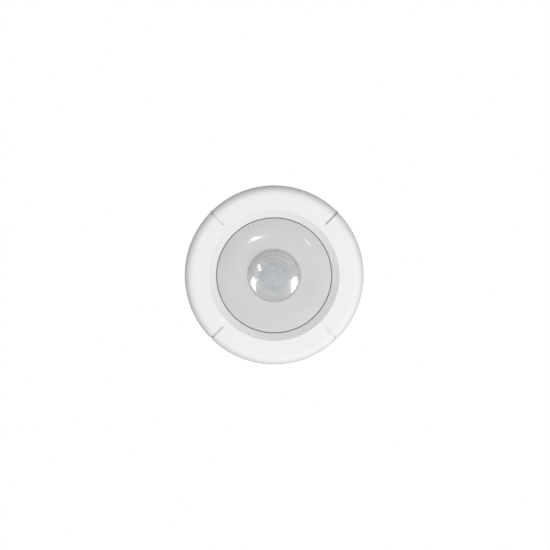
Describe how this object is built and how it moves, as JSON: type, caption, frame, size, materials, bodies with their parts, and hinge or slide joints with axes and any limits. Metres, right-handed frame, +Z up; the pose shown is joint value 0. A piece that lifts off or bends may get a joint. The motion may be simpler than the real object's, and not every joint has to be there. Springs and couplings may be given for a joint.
{
  "type": "heat detector",
  "caption": "Round ceiling heat detector with a domed infrared lens, a clip-on bezel ring and a twist-on base.",
  "frame": {"origin": "centre of the base's back face, on the ceiling", "axes": "+Z up into the ceiling; the two fixing slots lie along X; the lens points down -Z"},
  "size_m": [0.106, 0.106, 0.0394],
  "materials": {
    "base_plastic": "fine moulded texture",
    "chassis_plastic": "fine moulded texture",
    "bezel_plastic": "gloss",
    "face_plastic": "satin",
    "lens_plastic": "milky translucent, glossy outside",
    "clamp_plastic": "matt",
    "grommet_rubber": "matt",
    "terminal_brass": "nickel free, rolled",
    "screw_steel": "zinc plated",
    "board_laminate": "solder mask",
    "sensor_steel": "nickel plated",
    "sensor_window": "coated silicon",
    "spacer_plastic": "natural nylon",
    "led_epoxy": "clear tinted",
    "thermistor_epoxy": "dipped",
    "relay_plastic": "moulded",
    "film_plastic": "moulded",
    "can_aluminium": "drawn can",
    "varistor_epoxy": "dipped",
    "chip_plastic": "moulded",
    "pin_tin": "tinned",
    "trimmer_plastic": "moulded",
    "dial_plastic": "moulded"
  },
  "bodies": {
    "base": {"base_plate": "base_plastic", "base_rim": "base_plastic", "cable_grommet": "grommet_rubber", "terminal_contacts": "terminal_brass", "clamp_washers": "screw_steel", "terminal_screws": "screw_steel"},
    "head": {"rear_chassis": "chassis_plastic", "bayonet_collar": "chassis_plastic", "contact_studs": "terminal_brass", "circuit_board": "board_laminate", "front_housing": "face_plastic", "assembly_screws": "screw_steel", "lens_dome": "lens_plastic", "lens_clamp_ring": "clamp_plastic", "clamp_screws": "screw_steel", "sensor_spacer": "spacer_plastic", "sensor_can": "sensor_steel", "sensor_window": "sensor_window", "sensor_leads": "pin_tin", "status_led": "led_epoxy", "thermistor": "thermistor_epoxy", "relay": "relay_plastic", "film_capacitor": "film_plastic", "storage_capacitors": "can_aluminium", "varistor": "varistor_epoxy", "microcontroller": "chip_plastic", "microcontroller_pins": "pin_tin", "amplifier_chip": "chip_plastic", "amplifier_pins": "pin_tin", "trimmers": "trimmer_plastic"},
    "bezel": {"bezel_ring": "bezel_plastic"},
    "sensitivity_dial": {"sensitivity_dial": "dial_plastic"},
    "time_dial": {"time_dial": "dial_plastic"}
  },
  "joints": [
    {"name": "head_twist", "type": "hinge", "parent": "base", "child": "head", "pos_m": [0, 0, -0.0135], "axis": [0, 0, -1], "range_deg": [0, 21]},
    {"name": "bezel_pull", "type": "slide", "parent": "head", "child": "bezel", "axis": [0, 0, -1], "range_m": [0, 0.03]},
    {"name": "sensitivity_turn", "type": "hinge", "parent": "head", "child": "sensitivity_dial", "pos_m": [-0.01395, -0.03834, -0.0277], "axis": [0, 0, -1], "range_deg": [-135, 135]},
    {"name": "time_turn", "type": "hinge", "parent": "head", "child": "time_dial", "pos_m": [0.01395, -0.03834, -0.0277], "axis": [0, 0, -1], "range_deg": [-135, 135]}
  ]
}
